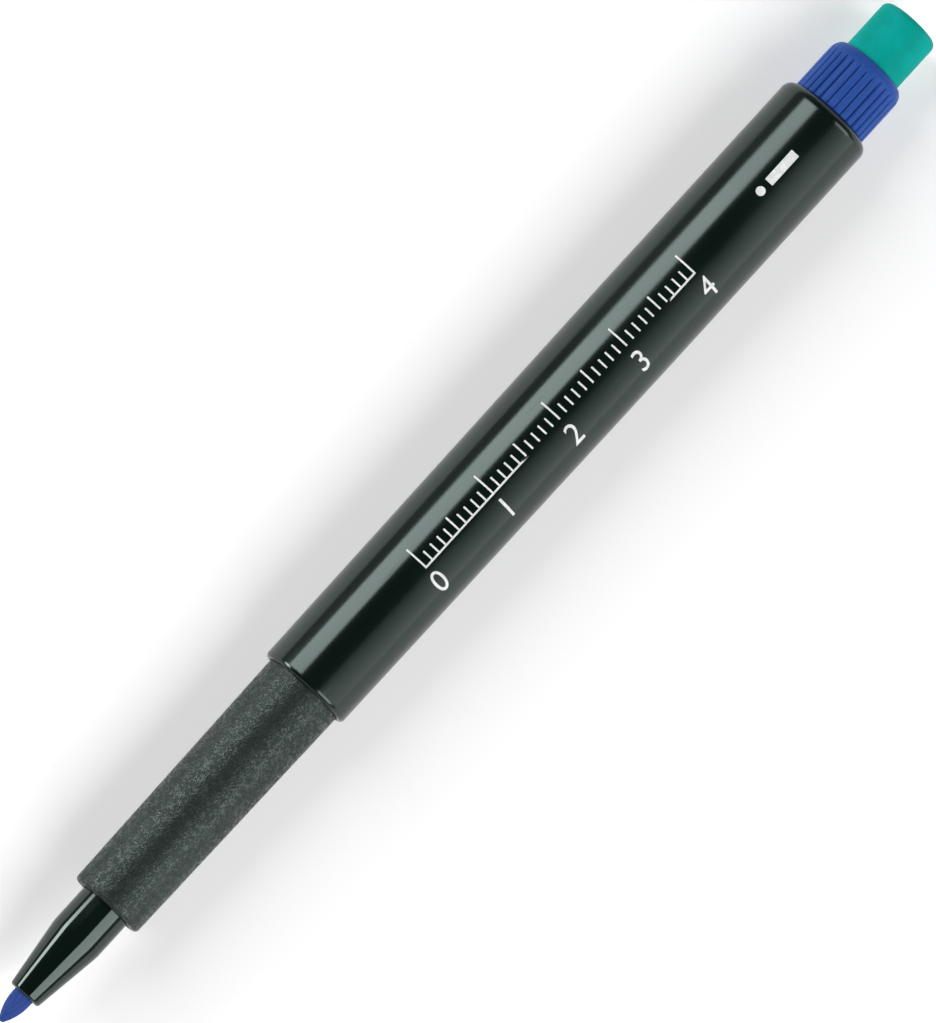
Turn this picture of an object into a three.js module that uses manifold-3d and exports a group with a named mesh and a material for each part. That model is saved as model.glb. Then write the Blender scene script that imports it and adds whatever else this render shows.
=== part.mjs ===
// A permanent marker without its cap: bullet nib, nose, textured grip, gloss barrel and an eraser in a fluted holder.
// Millimetres. The pen lies along X, nib towards -X, and rests on Z = 0 with its axis level.

import * as THREE from 'three';
import { mergeVertices } from 'three/addons/utils/BufferGeometryUtils.js';
import Module from 'manifold-3d';

// Nib
const NIB_SHOWN = 3.46;
const NIB_LENGTH = 30;
const NIB_DIAMETER = 2.27;
const NIB_TIP_RADIUS = 0.4;
const NIB_SIDE_RADIUS = 5.7;
const NIB_END_CHAMFER = 0.2;

// Nose and the core behind it
const NOSE_SHOWN = 12.04;
const NOSE_FRONT_DIAMETER = 3.7;
const NOSE_DIAMETER = 5.7;
const NOSE_CORNER = 0.35;
const NOSE_CONE_LENGTH = 7.6;
const NIB_BORE_LENGTH = 16.5;
const CORE_DIAMETER = 7.1;
const SPIGOT_LENGTH = 10.3;
const VENT_COUNT = 4;
const VENT_WIDTH = 0.5;
const VENT_DEPTH = 0.25;

// Grip sleeve
const GRIP_SHOWN = 29.3;
const GRIP_TUCK = 0.6;
const GRIP_FRONT_DIAMETER = 8.15;
const GRIP_REAR_DIAMETER = 8.8;
const GRIP_FRONT_CORNER = 0.45;
const GRIP_REAR_CORNER = 0.15;
const GRIP_LIP = 1;

// Barrel
const BARREL_LENGTH = 78.5;
const BARREL_DIAMETER = 10.7;
const BARREL_FRONT_DIAMETER = 10.25;
const BARREL_TAPER_LENGTH = 49;
const BARREL_BORE = 8;
const FRONT_CORNER = { across: 0.4, along: 0.5 };
const REAR_CORNER = { across: 0.75, along: 1 };
const RING_LENGTH = 4;
const NOTCH_COUNT = 8;
const NOTCH_WIDTH = 0.6;

// Ink reservoir
const RESERVOIR_DIAMETER = 5.3;
const FILM_THICKNESS = 0.12;

// Inner stopper
const STOPPER_LENGTH = 5;
const STOPPER_CUP_DEPTH = 4;
const STOPPER_CUP_WALL = 0.7;
const STOPPER_NECK = 0.15;
const BEAD_COUNT = 2;
const BEAD_LENGTH = 0.8;
const BOSS_DIAMETER = 3.6;
const BOSS_LENGTH = 5;
const BOSS_CHAMFER = 0.4;

// Eraser and its fluted holder
const COLLAR_LENGTH = 6.5;
const COLLAR_DIAMETER = 8.8;
const COLLAR_CORNER_LENGTH = 1.4;
const HOLDER_WEB = 1.4;
const ERASER_SHOWN = 6.1;
const ERASER_CUP_DEPTH = 8.4;
const ERASER_DIAMETER = 6.75;
const ERASER_CORNER = 0.7;
const FLUTE_COUNT = 30;
const FLUTE_WIDTH = 0.62;
const FLUTE_DEPTH = 0.22;
const FLUTE_LENGTH = 4.7;
const FLUTE_RUN_OUT = 0.8;

// Clearances: radial in a push fit, round the sleeve's tucked-in rear, and between end faces that meet
const FIT = 0.05;
const TUCK_GAP = 0.12;
const FACE_GAP = 0.1;

// Facets round every turned piece, round the fluted holder, and steps on a quarter arc
const SIDES = 48;
const HOLDER_SIDES = 2 * FLUTE_COUNT;
const ARC_STEPS = 4;

// Radii that fit one another
const nibRadius = NIB_DIAMETER / 2;
const nibBoreRadius = nibRadius + FIT;
const noseRadius = NOSE_DIAMETER / 2;
const coreRadius = CORE_DIAMETER / 2;
const boreRadius = BARREL_BORE / 2;
const barrelRadius = BARREL_DIAMETER / 2;
const wadRadius = RESERVOIR_DIAMETER / 2;
const chamberRadius = wadRadius + FIT;
const pushedInRadius = boreRadius - FIT;
const bossRadius = BOSS_DIAMETER / 2;
const eraserRadius = ERASER_DIAMETER / 2;
const cupRadius = eraserRadius + FIT;
const collarRadius = COLLAR_DIAMETER / 2;
const gripRearRadius = GRIP_REAR_DIAMETER / 2;
const recessRadius = gripRearRadius + TUCK_GAP;

// Stations along the axis, from the nib's tip
const noseFront = NIB_SHOWN;
const gripFront = noseFront + NOSE_SHOWN;
const shoulder = gripFront + GRIP_LIP + FACE_GAP;
const barrelFront = gripFront + GRIP_SHOWN;
const gripRear = barrelFront + GRIP_TUCK;
const recessFloor = gripRear + FACE_GAP;
const spigotRear = recessFloor + SPIGOT_LENGTH;
const barrelRear = barrelFront + BARREL_LENGTH;
const collarFront = barrelRear + FACE_GAP;
const collarRear = collarFront + COLLAR_LENGTH;
const penLength = collarRear + ERASER_SHOWN;
const chamberFront = noseFront + NIB_BORE_LENGTH;
const cupFloor = collarRear - ERASER_CUP_DEPTH;
const socketFloor = cupFloor - HOLDER_WEB;
const bossEnd = socketFloor - FACE_GAP;
const stopperRear = bossEnd - BOSS_LENGTH;
const stopperMiddle = stopperRear - STOPPER_LENGTH;
const stopperFront = stopperMiddle - STOPPER_CUP_DEPTH;
const wadFront = chamberFront + FACE_GAP;
const wadRear = stopperMiddle - FACE_GAP;

const wasm = await Module();
wasm.setup();

// A profile holds (radius, station) points. It starts and ends on the axis, or closes on itself.
function turned(profile, sides = SIDES) {
  const points = profile.getPoints(ARC_STEPS);
  if (THREE.ShapeUtils.area(points) < 0) {
    points.reverse();
  }
  return new THREE.LatheGeometry(points, sides);
}

function toSolid(geometry) {
  const bare = geometry.clone();
  bare.deleteAttribute('normal');
  bare.deleteAttribute('uv');
  const merged = mergeVertices(bare, 1e-5);
  const triangles = [];
  const index = merged.index.array;
  for (let i = 0; i < index.length; i += 3) {
    const corners = [index[i], index[i + 1], index[i + 2]];
    if (new Set(corners).size === 3) {
      triangles.push(...corners);
    }
  }
  const vertProperties = new Float32Array(merged.attributes.position.array);
  const triVerts = new Uint32Array(triangles);
  return new wasm.Manifold(new wasm.Mesh({ numProp: 3, vertProperties, triVerts }));
}

function toGeometry(solid) {
  const mesh = solid.getMesh();
  const geometry = new THREE.BufferGeometry();
  geometry.setAttribute('position', new THREE.BufferAttribute(mesh.vertProperties, 3));
  geometry.setIndex(new THREE.BufferAttribute(mesh.triVerts, 1));
  geometry.computeVertexNormals();
  return geometry;
}

// Copies of a shape, set round the axis at even steps
function around(geometry, count) {
  const copies = [];
  for (let i = 0; i < count; i++) {
    copies.push(toSolid(geometry.clone().rotateY((2 * Math.PI * i) / count)));
  }
  return copies;
}

// A straight bar along the axis, from one station to another, between two radii, set at a side of the axis
function bar(innerRadius, outerRadius, from, to, width) {
  const box = new THREE.BoxGeometry(outerRadius - innerRadius, to - from, width);
  return box.translate((innerRadius + outerRadius) / 2, (from + to) / 2, 0);
}

// Bullet point: a small tip arc that runs smoothly into a large side arc, which meets the rod
function nibGeometry() {
  const sideCentre = nibRadius - NIB_SIDE_RADIUS;
  const reach = NIB_SIDE_RADIUS - NIB_TIP_RADIUS;
  const pointLength = NIB_TIP_RADIUS + Math.sqrt(reach ** 2 - sideCentre ** 2);
  const meeting = Math.atan2(pointLength - NIB_TIP_RADIUS, -sideCentre);
  const profile = new THREE.Path();
  profile.moveTo(0, 0);
  profile.absarc(0, NIB_TIP_RADIUS, NIB_TIP_RADIUS, -Math.PI / 2, -meeting, false);
  profile.absarc(sideCentre, pointLength, NIB_SIDE_RADIUS, -meeting, 0, false);
  profile.lineTo(nibRadius, NIB_LENGTH - NIB_END_CHAMFER);
  profile.lineTo(nibRadius - NIB_END_CHAMFER, NIB_LENGTH);
  profile.lineTo(0, NIB_LENGTH);
  return turned(profile);
}

// Nose cone, core under the grip and spigot in the barrel: one moulding, with the nib's bore and the wad's chamber
function frontSectionGeometry() {
  const tipRadius = NOSE_FRONT_DIAMETER / 2;
  const profile = new THREE.Path();
  profile.moveTo(nibBoreRadius, noseFront);
  profile.lineTo(tipRadius - NOSE_CORNER, noseFront);
  profile.absarc(tipRadius - NOSE_CORNER, noseFront + NOSE_CORNER, NOSE_CORNER, -Math.PI / 2, 0, false);
  profile.lineTo(noseRadius, noseFront + NOSE_CONE_LENGTH);
  profile.lineTo(noseRadius, shoulder);
  profile.lineTo(coreRadius, shoulder);
  profile.lineTo(coreRadius, recessFloor);
  profile.lineTo(pushedInRadius, recessFloor);
  profile.lineTo(pushedInRadius, spigotRear);
  profile.lineTo(chamberRadius, spigotRear);
  profile.lineTo(chamberRadius, chamberFront);
  profile.lineTo(nibBoreRadius, chamberFront);
  profile.closePath();
  const body = toSolid(turned(profile));
  const vent = bar(nibRadius, nibBoreRadius + VENT_DEPTH, noseFront + NOSE_CORNER, wadFront, VENT_WIDTH);
  return toGeometry(around(vent, VENT_COUNT).reduce((rest, groove) => rest.subtract(groove), body));
}

// The sleeve's front lip covers the core's shoulder and leaves a fine gap round the nose. Its rear is tucked in.
function gripSleeveGeometry() {
  const frontRadius = GRIP_FRONT_DIAMETER / 2;
  const profile = new THREE.Path();
  profile.moveTo(noseRadius + FACE_GAP, gripFront);
  profile.lineTo(frontRadius - GRIP_FRONT_CORNER, gripFront);
  profile.absarc(
    frontRadius - GRIP_FRONT_CORNER,
    gripFront + GRIP_FRONT_CORNER,
    GRIP_FRONT_CORNER,
    -Math.PI / 2,
    0,
    false,
  );
  profile.lineTo(gripRearRadius, gripRear - GRIP_REAR_CORNER);
  profile.lineTo(gripRearRadius - GRIP_REAR_CORNER, gripRear);
  profile.lineTo(coreRadius + FIT, gripRear);
  profile.lineTo(coreRadius + FIT, gripFront + GRIP_LIP);
  profile.lineTo(noseRadius + FACE_GAP, gripFront + GRIP_LIP);
  profile.closePath();
  return turned(profile);
}

// A tube with square ends, from one station to another
function tubeGeometry(innerRadius, outerRadius, from, to) {
  const profile = new THREE.Path();
  profile.moveTo(innerRadius, from);
  profile.lineTo(outerRadius, from);
  profile.lineTo(outerRadius, to);
  profile.lineTo(innerRadius, to);
  profile.closePath();
  return turned(profile);
}

// Ring halfway along the ink chamber that holds the reservoir central. Its notches let air past.
function guideRing(outerRadius) {
  const middle = (spigotRear + stopperFront) / 2;
  const front = middle - RING_LENGTH / 2;
  const rear = middle + RING_LENGTH / 2;
  const ring = toSolid(tubeGeometry(wadRadius + FIT, outerRadius, front, rear));
  const notch = bar(wadRadius, boreRadius, front - FACE_GAP, rear + FACE_GAP, NOTCH_WIDTH)
    .rotateY(Math.PI / NOTCH_COUNT);
  return around(notch, NOTCH_COUNT).reduce((rest, one) => rest.subtract(one), ring);
}

// Barrel with rounded rims, a recess for the sleeve's rear, and a ring in its bore that guides the reservoir
function barrelGeometry() {
  const frontRadius = BARREL_FRONT_DIAMETER / 2;
  const profile = new THREE.Path();
  profile.moveTo(boreRadius, recessFloor);
  profile.lineTo(recessRadius, recessFloor);
  profile.lineTo(recessRadius, barrelFront);
  profile.lineTo(frontRadius - FRONT_CORNER.across, barrelFront);
  profile.absellipse(
    frontRadius - FRONT_CORNER.across,
    barrelFront + FRONT_CORNER.along,
    FRONT_CORNER.across,
    FRONT_CORNER.along,
    -Math.PI / 2,
    0,
    false,
    0,
  );
  profile.lineTo(barrelRadius, barrelFront + BARREL_TAPER_LENGTH);
  profile.absellipse(
    barrelRadius - REAR_CORNER.across,
    barrelRear - REAR_CORNER.along,
    REAR_CORNER.across,
    REAR_CORNER.along,
    0,
    Math.PI / 2,
    false,
    0,
  );
  profile.lineTo(boreRadius, barrelRear);
  profile.closePath();
  const wallMiddle = (boreRadius + frontRadius) / 2;
  return toGeometry(toSolid(turned(profile)).add(guideRing(wallMiddle)));
}

function reservoirWrapGeometry() {
  return tubeGeometry(wadRadius - FILM_THICKNESS, wadRadius, wadFront, wadRear);
}

// The wad has a blind hole at its front, where the nib's end pushes the fibres aside
function reservoirFibreGeometry() {
  const fibreRadius = wadRadius - FILM_THICKNESS - FIT;
  const holeFloor = NIB_LENGTH + FACE_GAP;
  const profile = new THREE.Path();
  profile.moveTo(0, holeFloor);
  profile.lineTo(nibBoreRadius, holeFloor);
  profile.lineTo(nibBoreRadius, wadFront);
  profile.lineTo(fibreRadius, wadFront);
  profile.lineTo(fibreRadius, wadRear);
  profile.lineTo(0, wadRear);
  return turned(profile);
}

// Plug with a cup for the wad's end, sealing beads in the barrel's bore, and a boss for the eraser holder
function innerStopperGeometry() {
  const neckRadius = pushedInRadius - STOPPER_NECK;
  const beadPitch = STOPPER_LENGTH / BEAD_COUNT;
  const profile = new THREE.Path();
  profile.moveTo(0, stopperMiddle);
  profile.lineTo(chamberRadius, stopperMiddle);
  profile.lineTo(chamberRadius, stopperFront);
  profile.lineTo(chamberRadius + STOPPER_CUP_WALL, stopperFront);
  profile.lineTo(chamberRadius + STOPPER_CUP_WALL, stopperMiddle);
  profile.lineTo(neckRadius, stopperMiddle);
  for (let i = 0; i < BEAD_COUNT; i++) {
    const middle = stopperMiddle + (i + 1 / 2) * beadPitch;
    profile.lineTo(neckRadius, middle - BEAD_LENGTH / 2);
    profile.lineTo(pushedInRadius, middle - BEAD_LENGTH / 4);
    profile.lineTo(pushedInRadius, middle + BEAD_LENGTH / 4);
    profile.lineTo(neckRadius, middle + BEAD_LENGTH / 2);
  }
  profile.lineTo(neckRadius, stopperRear);
  profile.lineTo(bossRadius, stopperRear);
  profile.lineTo(bossRadius, bossEnd - BOSS_CHAMFER);
  profile.lineTo(bossRadius - BOSS_CHAMFER, bossEnd);
  profile.lineTo(0, bossEnd);
  return turned(profile);
}

// A V groove along the collar that runs out towards its rounded end
function fluteGeometry() {
  const end = collarFront + FLUTE_LENGTH;
  const profile = new THREE.Path();
  profile.moveTo(0, collarFront - FLUTE_DEPTH);
  profile.lineTo(1, collarFront - FLUTE_DEPTH);
  profile.lineTo(1, end);
  profile.lineTo(0, end + FLUTE_RUN_OUT);
  const spike = new THREE.LatheGeometry(profile.getPoints(), 4);
  return spike.scale(FLUTE_DEPTH, 1, FLUTE_WIDTH / 2).translate(collarRadius, 0, 0);
}

// Spigot in the barrel, fluted collar with a rounded end, a cup for the eraser and a socket for the stopper's boss
function eraserHolderGeometry() {
  const cornerAcross = collarRadius - cupRadius;
  const profile = new THREE.Path();
  profile.moveTo(0, socketFloor);
  profile.lineTo(bossRadius + FIT, socketFloor);
  profile.lineTo(bossRadius + FIT, stopperRear + FACE_GAP);
  profile.lineTo(pushedInRadius, stopperRear + FACE_GAP);
  profile.lineTo(pushedInRadius, collarFront);
  profile.lineTo(collarRadius, collarFront);
  profile.absellipse(
    cupRadius,
    collarRear - COLLAR_CORNER_LENGTH,
    cornerAcross,
    COLLAR_CORNER_LENGTH,
    0,
    Math.PI / 2,
    false,
    0,
  );
  profile.lineTo(cupRadius, cupFloor);
  profile.lineTo(0, cupFloor);
  const body = toSolid(turned(profile, HOLDER_SIDES));
  return toGeometry(around(fluteGeometry(), FLUTE_COUNT).reduce((rest, flute) => rest.subtract(flute), body));
}

function eraserGeometry() {
  const profile = new THREE.Path();
  profile.moveTo(0, cupFloor + FACE_GAP);
  profile.lineTo(eraserRadius, cupFloor + FACE_GAP);
  profile.absarc(eraserRadius - ERASER_CORNER, penLength - ERASER_CORNER, ERASER_CORNER, 0, Math.PI / 2, false);
  profile.lineTo(0, penLength);
  return turned(profile);
}

function finish(color, roughness) {
  return new THREE.MeshStandardMaterial({ color, roughness, metalness: 0 });
}

function piece(name, geometry, material) {
  const mesh = new THREE.Mesh(geometry, material);
  mesh.name = name;
  return mesh;
}

const pen = new THREE.Group();
pen.add(
  piece('nib', nibGeometry(), finish(0x2a458c, 0.9)),
  piece('front_section', frontSectionGeometry(), finish(0x0b1712, 0.2)),
  piece('grip_sleeve', gripSleeveGeometry(), finish(0x2c3230, 0.7)),
  piece('barrel', barrelGeometry(), finish(0x121b19, 0.15)),
  piece('reservoir_wrap', reservoirWrapGeometry(), finish(0xd8dde0, 0.3)),
  piece('reservoir_fibre', reservoirFibreGeometry(), finish(0x24407f, 0.95)),
  piece('inner_stopper', innerStopperGeometry(), finish(0xd9dcd6, 0.5)),
  piece('eraser_holder', eraserHolderGeometry(), finish(0x2a4f95, 0.3)),
  piece('eraser', eraserGeometry(), finish(0x069a88, 0.6)),
);

// The turned pieces stand along +Y as made. The group lays them along X and lifts the axis to the barrel's radius.
pen.rotation.z = -Math.PI / 2;
pen.position.set(-penLength / 2, 0, barrelRadius);

export default pen;
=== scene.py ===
# %% [markdown]
# # A permanent marker, dressed in Blender
#
# The marker lies on a pale table without its cap. It has a blue fibre nib, a gloss black nose, a matt grip, a gloss
# black barrel, and a turquoise eraser in a fluted blue holder. Its sizes and its moving bodies come from the packed
# CAD model, which is loaded first. Each cell then makes one piece or one finish, in the same place and in metres.

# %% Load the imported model
from math import atan2, cos, hypot, pi, radians, sin, sqrt

import bmesh
import bpy
from mathutils import Matrix, Vector


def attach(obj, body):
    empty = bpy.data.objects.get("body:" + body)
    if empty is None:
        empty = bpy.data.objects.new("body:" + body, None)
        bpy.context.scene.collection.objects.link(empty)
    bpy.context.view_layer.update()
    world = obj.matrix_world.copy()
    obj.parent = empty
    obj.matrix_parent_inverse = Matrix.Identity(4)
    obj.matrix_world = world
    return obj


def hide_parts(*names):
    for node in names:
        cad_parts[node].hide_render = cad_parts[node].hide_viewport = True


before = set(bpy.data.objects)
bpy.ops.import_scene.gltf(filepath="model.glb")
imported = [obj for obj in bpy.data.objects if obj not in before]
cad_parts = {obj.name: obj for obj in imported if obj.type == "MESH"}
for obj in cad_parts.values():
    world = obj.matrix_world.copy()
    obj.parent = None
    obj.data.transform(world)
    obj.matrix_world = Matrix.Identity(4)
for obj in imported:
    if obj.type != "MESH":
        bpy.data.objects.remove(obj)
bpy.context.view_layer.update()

# %% [markdown]
# ## How a turned piece is made
#
# Every moulding on this pen is round about one axis, which lies along X. A lathe makes such a shape from a profile.
# In Blender the same is done by hand with a circle: it is extruded to the next station along the axis and scaled to
# that station's radius, again and again. That way was chosen over a spun outline because each ring stays a clean
# loop, so that the long highlights on the gloss plastic run straight.

# %% Stations along the pen
MM = 0.001
HALF_LENGTH = 68
AXIS_HEIGHT = 5.35 * MM


def along(station):
    """A station, in mm from the nib's tip, as an X place in metres."""
    return (station - HALF_LENGTH) * MM


print("the pen is", 2 * HALF_LENGTH, "mm long, and its axis is", AXIS_HEIGHT, "m above the table")

# %% Selecting and turning
SMOOTH_ANGLE = radians(35)
WIDE_SIDES = 128  # of the circle that a wide moulding is turned from
SLIM_SIDES = 96
SAME = 1e-6  # radii in mm, or places in metres, that are closer than this are the same
WALL_REACH = 0.05 * MM  # a face this near to a radius lies on that wall


def only(piece):
    """Makes one object the selected and active one."""
    bpy.ops.object.select_all(action="DESELECT")
    piece.select_set(True)
    bpy.context.view_layer.objects.active = piece


def pick(piece, test, faces=False):
    """Selects the corners, or the faces, whose middle passes a test. Returns how many there are."""
    shape = bmesh.from_edit_mesh(piece.data)
    count = 0
    for part in shape.faces if faces else shape.verts:
        part.select = test(part.calc_center_median() if faces else part.co)
        count += part.select
    shape.select_mode = {"FACE" if faces else "VERT"}
    shape.select_flush_mode()
    bmesh.update_edit_mesh(piece.data)
    return count


def out(place):
    """How far a place is from the pen's axis."""
    return hypot(place.y, place.z - AXIS_HEIGHT)


def scale_round(station, scale):
    """Scales what is selected towards the pen's axis, or away from it."""
    bpy.ops.transform.resize(value=(1, scale, scale), center_override=(along(station), 0, AXIS_HEIGHT))


def extrude_along(length):
    """Extrudes what is selected along the pen, by a length in mm."""
    bpy.ops.mesh.extrude_region_move(TRANSFORM_OT_translate={"value": (length * MM, 0, 0)})


def draw_ring(start, end):
    """Extrudes the selected ring from one (station, radius) to the next."""
    extrude_along(end[0] - start[0])
    if abs(end[1] - start[1]) > SAME:
        scale_round(end[0], end[1] / start[1])


def close_mesh():
    """Turns every face outwards and leaves edit mode."""
    bpy.ops.mesh.select_all(action="SELECT")
    bpy.ops.mesh.normals_make_consistent(inside=False)
    bpy.ops.object.mode_set(mode="OBJECT")


def turned(name, rings, sides, front_pole=None, rear_pole=None):
    """A piece from a list of (station, radius) rings in mm.

    A pole closes an end on the axis. A tube ends on the ring where it began.
    """
    bpy.ops.object.select_all(action="DESELECT")
    station, radius = rings[0]
    bpy.ops.mesh.primitive_circle_add(
        vertices=sides,
        radius=radius * MM,
        fill_type="NOTHING",
        location=(along(station), 0, AXIS_HEIGHT),
        rotation=(0, pi / 2, 0),
    )
    piece = bpy.context.object
    piece.name = name
    piece.data.name = name
    bpy.ops.object.transform_apply(location=True, rotation=True, scale=True)
    bpy.ops.object.mode_set(mode="EDIT")
    bpy.ops.mesh.select_all(action="SELECT")
    if front_pole is not None:
        extrude_along(front_pole - station)
        bpy.ops.mesh.merge(type="CENTER")
        pick(piece, lambda co: out(co) > SAME)
    for start, end in zip(rings, rings[1:]):
        draw_ring(start, end)
    if rear_pole is not None:
        extrude_along(rear_pole - rings[-1][0])
        bpy.ops.mesh.merge(type="CENTER")
    bpy.ops.mesh.select_all(action="SELECT")
    bpy.ops.mesh.remove_doubles(threshold=SAME)
    close_mesh()
    bpy.ops.object.shade_smooth_by_angle(angle=SMOOTH_ANGLE)
    print(name, "has", len(piece.data.polygons), "faces")
    return piece


# %% Rounded corners of a profile
def corner(middle_station, middle_radius, length, depth, start, end, steps):
    """Rings on a part of an ellipse. The angle 0 points outwards, and 90 towards the eraser."""
    rings = []
    for i in range(steps + 1):
        angle = radians(start + (end - start) * i / steps)
        rings.append((middle_station + length * sin(angle), middle_radius + depth * cos(angle)))
    return rings


example = corner(10, 2, 1, 0.5, 0, 90, 3)
print("a quarter corner, for example:", [tuple(round(v, 3) for v in ring) for ring in example])

# %% [markdown]
# ## The nib
#
# The nib is a rod of bonded fibres, ground to a bullet point. Only 3.5 mm of it shows, and the rest runs through the
# nose into the ink reservoir. A scaled sphere on a cylinder would have a visible seam. Two arcs that run into each
# other, a small one at the tip and a large one to the side, give the ground shape, so the rings follow those.

# %% Model the nib
NIB_RADIUS = 1.135
NIB_LENGTH = 30
TIP_ARC = 0.4
SIDE_ARC = 5.7
NIB_REAR_CORNER = 0.2

side_middle = NIB_RADIUS - SIDE_ARC
point_length = TIP_ARC + sqrt((SIDE_ARC - TIP_ARC) ** 2 - side_middle ** 2)
meeting = atan2(point_length - TIP_ARC, -side_middle) * 180 / pi

nib_rings = corner(TIP_ARC, 0, TIP_ARC, TIP_ARC, -84, -meeting, 8)
nib_rings += corner(point_length, side_middle, SIDE_ARC, SIDE_ARC, -meeting, 0, 22)[1:]
nib_rings += [(8, NIB_RADIUS), (NIB_LENGTH - 0.25, NIB_RADIUS)]
nib_rings += corner(
    NIB_LENGTH - NIB_REAR_CORNER, NIB_RADIUS - NIB_REAR_CORNER, NIB_REAR_CORNER, NIB_REAR_CORNER, 0, 90, 4
)
nib = turned("nib_fibre", nib_rings, SLIM_SIDES, front_pole=0, rear_pole=NIB_LENGTH)
print("the nib's point is", round(point_length, 2), "mm long")

# %% [markdown]
# ## The front section
#
# One moulding makes the nose, the core under the grip and the spigot that is pressed into the barrel. The nose is a
# cone that bends into a short cylinder. The bend is a little soft on a moulded part, so two extra rings round it off.
# The bore for the nib has four air grooves, which are made by pushing a few faces of the bore outwards.

# %% Pressing faces in or out
def on_wall(middle, radius, low_station, high_station):
    """Whether a face, given by its middle, lies on a wall of that radius in mm, between two stations."""
    return abs(out(middle) - radius * MM) < WALL_REACH and along(low_station) < middle.x < along(high_station)


def press(piece, low_station, high_station, radius, depth, count, width):
    """Moves strips of faces on a wall outwards by a depth, at even steps round the axis."""
    for i in range(count):
        angle = 2 * pi * i / count
        facing = Vector((0, sin(angle), cos(angle)))

        def in_strip(middle):
            place = middle - Vector((0, 0, AXIS_HEIGHT))
            sideways = place - Vector((place.x, 0, 0)) - facing * place.dot(facing)
            in_width = place.dot(facing) > 0 and sideways.length < width * MM / 2
            return in_width and on_wall(middle, radius, low_station, high_station)

        chosen = pick(piece, in_strip, faces=True)
        bpy.ops.mesh.extrude_region_move(TRANSFORM_OT_translate={"value": facing * depth * MM})
    return chosen


# %% Model the front section
NOSE_FRONT = 3.46
NOSE_TIP_RADIUS = 1.85
NOSE_RADIUS = 2.85
NOSE_BEND = 11.06
BORE_RADIUS = 1.185
CORE_RADIUS = 3.55
SPIGOT_RADIUS = 3.95
CHAMBER_RADIUS = 2.7
SHOULDER = 16.6
RECESS_FLOOR = 45.5
SPIGOT_REAR = 55.8
CHAMBER_FRONT = 19.96
NOSE_CORNER = 0.35
BORE_EDGE = 0.06
SPIGOT_EDGE = 0.2
BEND_SPAN = 0.45
BEND_SOFT = 0.3

nose_rings = [(NOSE_FRONT + BORE_EDGE, BORE_RADIUS), (NOSE_FRONT, BORE_RADIUS + BORE_EDGE)]
nose_rings += [(NOSE_FRONT, NOSE_TIP_RADIUS - NOSE_CORNER - 0.03)]
nose_rings += corner(NOSE_FRONT + NOSE_CORNER, NOSE_TIP_RADIUS - NOSE_CORNER, NOSE_CORNER, NOSE_CORNER, -90, 0, 10)
cone_slope = (NOSE_RADIUS - NOSE_TIP_RADIUS) / (NOSE_BEND - NOSE_FRONT - NOSE_CORNER)
nose_rings += [(NOSE_FRONT + NOSE_CORNER + 0.1, NOSE_TIP_RADIUS + 0.1 * cone_slope)]
nose_rings += [(NOSE_BEND - before, NOSE_RADIUS - before * cone_slope) for before in (BEND_SPAN, BEND_SOFT)]
nose_rings += [(NOSE_BEND - 0.1, NOSE_RADIUS - 0.024), (NOSE_BEND + 0.1, NOSE_RADIUS - 0.006)]
nose_rings += [(NOSE_BEND + BEND_SOFT, NOSE_RADIUS), (NOSE_BEND + BEND_SPAN, NOSE_RADIUS)]
nose_rings += [(SHOULDER, NOSE_RADIUS), (SHOULDER, CORE_RADIUS)]
nose_rings += [(RECESS_FLOOR, CORE_RADIUS), (RECESS_FLOOR, SPIGOT_RADIUS)]
nose_rings += [(SPIGOT_REAR - SPIGOT_EDGE, SPIGOT_RADIUS), (SPIGOT_REAR, SPIGOT_RADIUS - SPIGOT_EDGE)]
nose_rings += [(SPIGOT_REAR, CHAMBER_RADIUS), (CHAMBER_FRONT, CHAMBER_RADIUS)]
nose_rings += [(CHAMBER_FRONT, BORE_RADIUS), (NOSE_FRONT + 0.5, BORE_RADIUS), nose_rings[0]]
nose = turned("nose", nose_rings, WIDE_SIDES)

# %% Press the air grooves into its bore
AIR_GROOVES = 4
GROOVE_DEPTH = 0.24
GROOVE_WIDTH = 0.5

only(nose)
bpy.ops.object.mode_set(mode="EDIT")
groove_faces = press(
    nose, NOSE_FRONT + 0.4, CHAMBER_FRONT, BORE_RADIUS, GROOVE_DEPTH, AIR_GROOVES, GROOVE_WIDTH
)
bpy.ops.object.mode_set(mode="OBJECT")
print("each air groove took", groove_faces, "faces of the bore")

# %% [markdown]
# ## The grip sleeve
#
# A softer sleeve is slid over the core. It widens a little from the nose to the barrel, its front rim is well
# rounded, and its rear goes into a recess in the barrel. It is a plain tube, so all of its character comes later,
# from its grain.

# %% Model the grip sleeve
GRIP_FRONT = 15.5
GRIP_REAR = 45.4
GRIP_FRONT_RADIUS = 4.075
GRIP_REAR_RADIUS = 4.4
GRIP_CORNER = 0.45
MOUTH_RADIUS = NOSE_RADIUS + 0.1
MOUTH_EDGE = 0.08
SLEEVE_BORE = CORE_RADIUS + 0.05
SLEEVE_EDGE = 0.15
LIP = 1

grip_slope = (GRIP_REAR_RADIUS - GRIP_FRONT_RADIUS) / (GRIP_REAR - GRIP_FRONT - GRIP_CORNER)
grip_rings = [(GRIP_FRONT + MOUTH_EDGE, MOUTH_RADIUS), (GRIP_FRONT, MOUTH_RADIUS + MOUTH_EDGE)]
grip_rings += [(GRIP_FRONT, GRIP_FRONT_RADIUS - GRIP_CORNER - 0.05)]
grip_rings += corner(GRIP_FRONT + GRIP_CORNER, GRIP_FRONT_RADIUS - GRIP_CORNER, GRIP_CORNER, GRIP_CORNER, -90, 0, 12)
for past in (0.15, 14.05):
    grip_rings += [(GRIP_FRONT + GRIP_CORNER + past, GRIP_FRONT_RADIUS + past * grip_slope)]
grip_rings += [(GRIP_REAR - SLEEVE_EDGE, GRIP_REAR_RADIUS - 0.01), (GRIP_REAR, GRIP_REAR_RADIUS - SLEEVE_EDGE)]
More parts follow.
